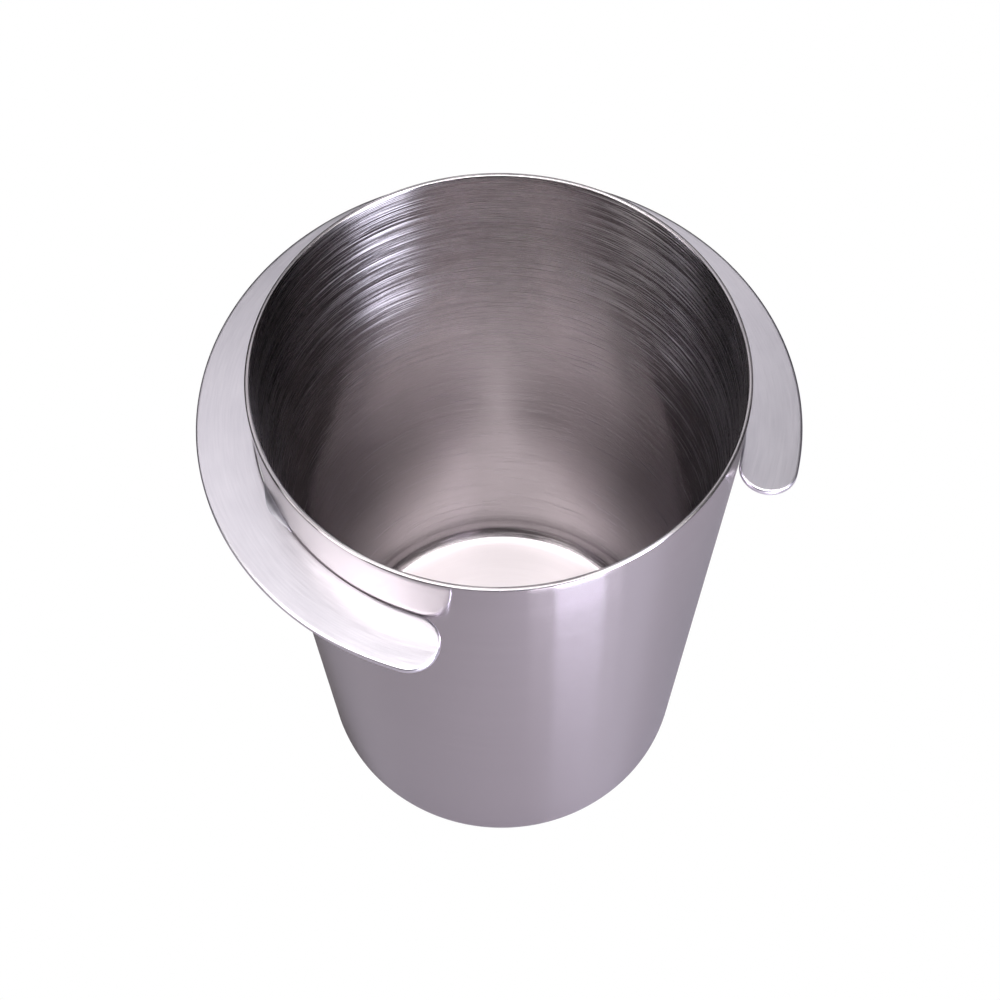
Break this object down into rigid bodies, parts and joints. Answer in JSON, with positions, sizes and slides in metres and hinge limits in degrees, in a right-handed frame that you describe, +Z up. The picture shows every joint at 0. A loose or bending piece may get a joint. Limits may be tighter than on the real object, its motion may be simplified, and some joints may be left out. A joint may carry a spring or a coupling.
{
  "type": "espresso dosing cup",
  "caption": "Tapered stainless steel dosing cup with an open mouth and a C-shaped fork flange welded round its collar.",
  "frame": {"origin": "centre of the base's flat face", "axes": "+Z up the cup's axis to the mouth, -Y through the middle of the flange's opening, +X to the right seen from that side"},
  "size_m": [0.0716, 0.0648, 0.084],
  "materials": {
    "brushed_cup": "circumferentially brushed stainless steel, fine turned scratches inside and out",
    "satin_flange": "satin stainless steel plate with a bright bevelled edge",
    "weld_metal": "stainless weld metal, slightly heat tinted"
  },
  "bodies": {
    "root": {"cup_shell": "brushed_cup", "fork_flange": "satin_flange", "root_welds": "weld_metal", "blended_welds": "weld_metal"}
  },
  "joints": []
}
